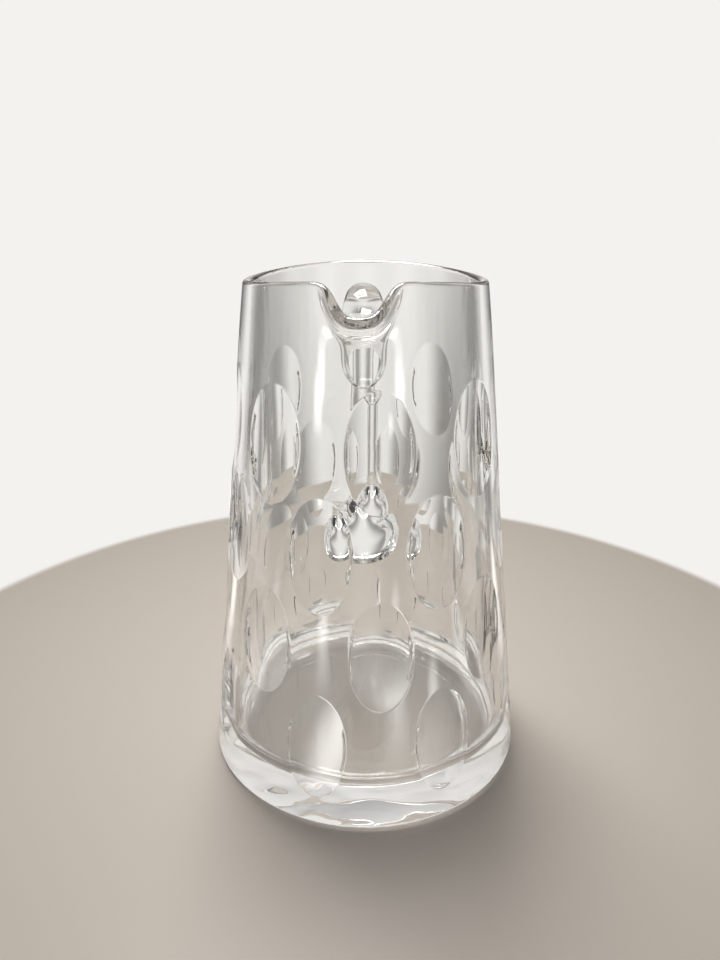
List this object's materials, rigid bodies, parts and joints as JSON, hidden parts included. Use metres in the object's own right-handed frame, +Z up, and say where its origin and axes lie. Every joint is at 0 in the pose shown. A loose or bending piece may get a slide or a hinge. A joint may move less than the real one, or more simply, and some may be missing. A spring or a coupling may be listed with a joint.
{
  "type": "cut glass pitcher",
  "caption": "Clear cut-glass water pitcher: tapered thick-based body with staggered olive cuts, a pulled pouring lip, and an applied loop handle at the back.",
  "frame": {"origin": "middle of the flat foot, on the body's axis", "axes": "+Z up along the body's axis, -Y towards the pouring lip, +Y towards the handle"},
  "size_m": [0.1196, 0.1514, 0.18],
  "materials": {
    "glass": "clear crystal, fire-polished, with polished wheel cuts"
  },
  "bodies": {
    "root": {"body": "glass", "handle": "glass"}
  },
  "joints": []
}
